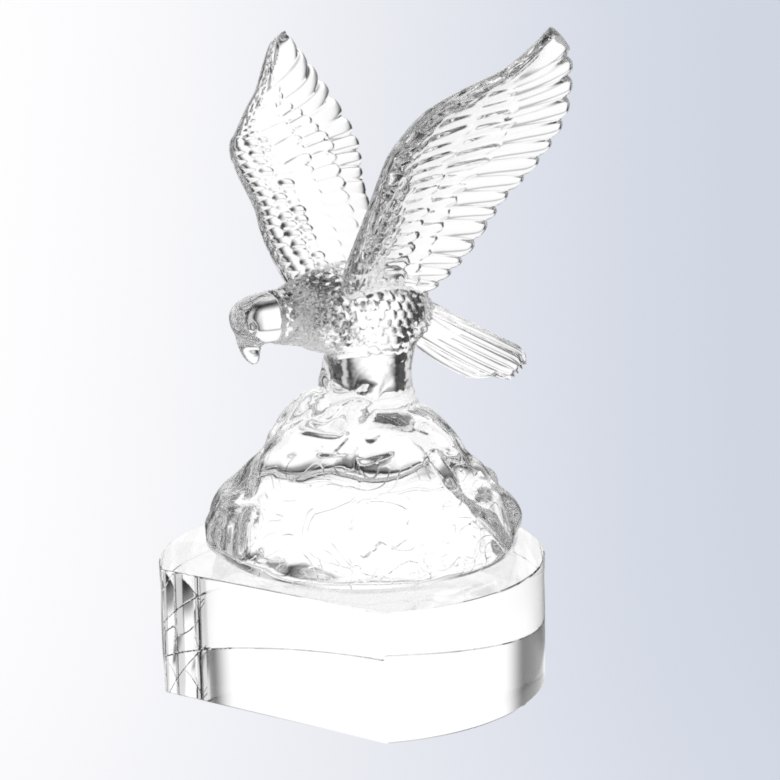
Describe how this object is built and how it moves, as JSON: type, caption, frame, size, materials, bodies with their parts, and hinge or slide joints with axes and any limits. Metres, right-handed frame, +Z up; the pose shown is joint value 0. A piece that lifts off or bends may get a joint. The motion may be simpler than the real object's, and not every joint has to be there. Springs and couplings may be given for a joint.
{
  "type": "crystal eagle award",
  "caption": "Clear crystal eagle with raised wings gripping a rock, fixed on a D-shaped crystal base whose flat front face is left bare for engraving.",
  "frame": {"origin": "middle of the round base's underside, on the surface that the award stands on", "axes": "+Z up, and -Y out of the base's flat engraving face"},
  "size_m": [0.1259, 0.1053, 0.1946],
  "materials": {
    "cast_crystal": "pressed clear crystal, fire polished, with feather relief",
    "base_crystal": "clear optical crystal, flat ground and polished"
  },
  "bodies": {
    "root": {"eagle_on_rock": "cast_crystal", "crystal_base": "base_crystal"}
  },
  "joints": []
}
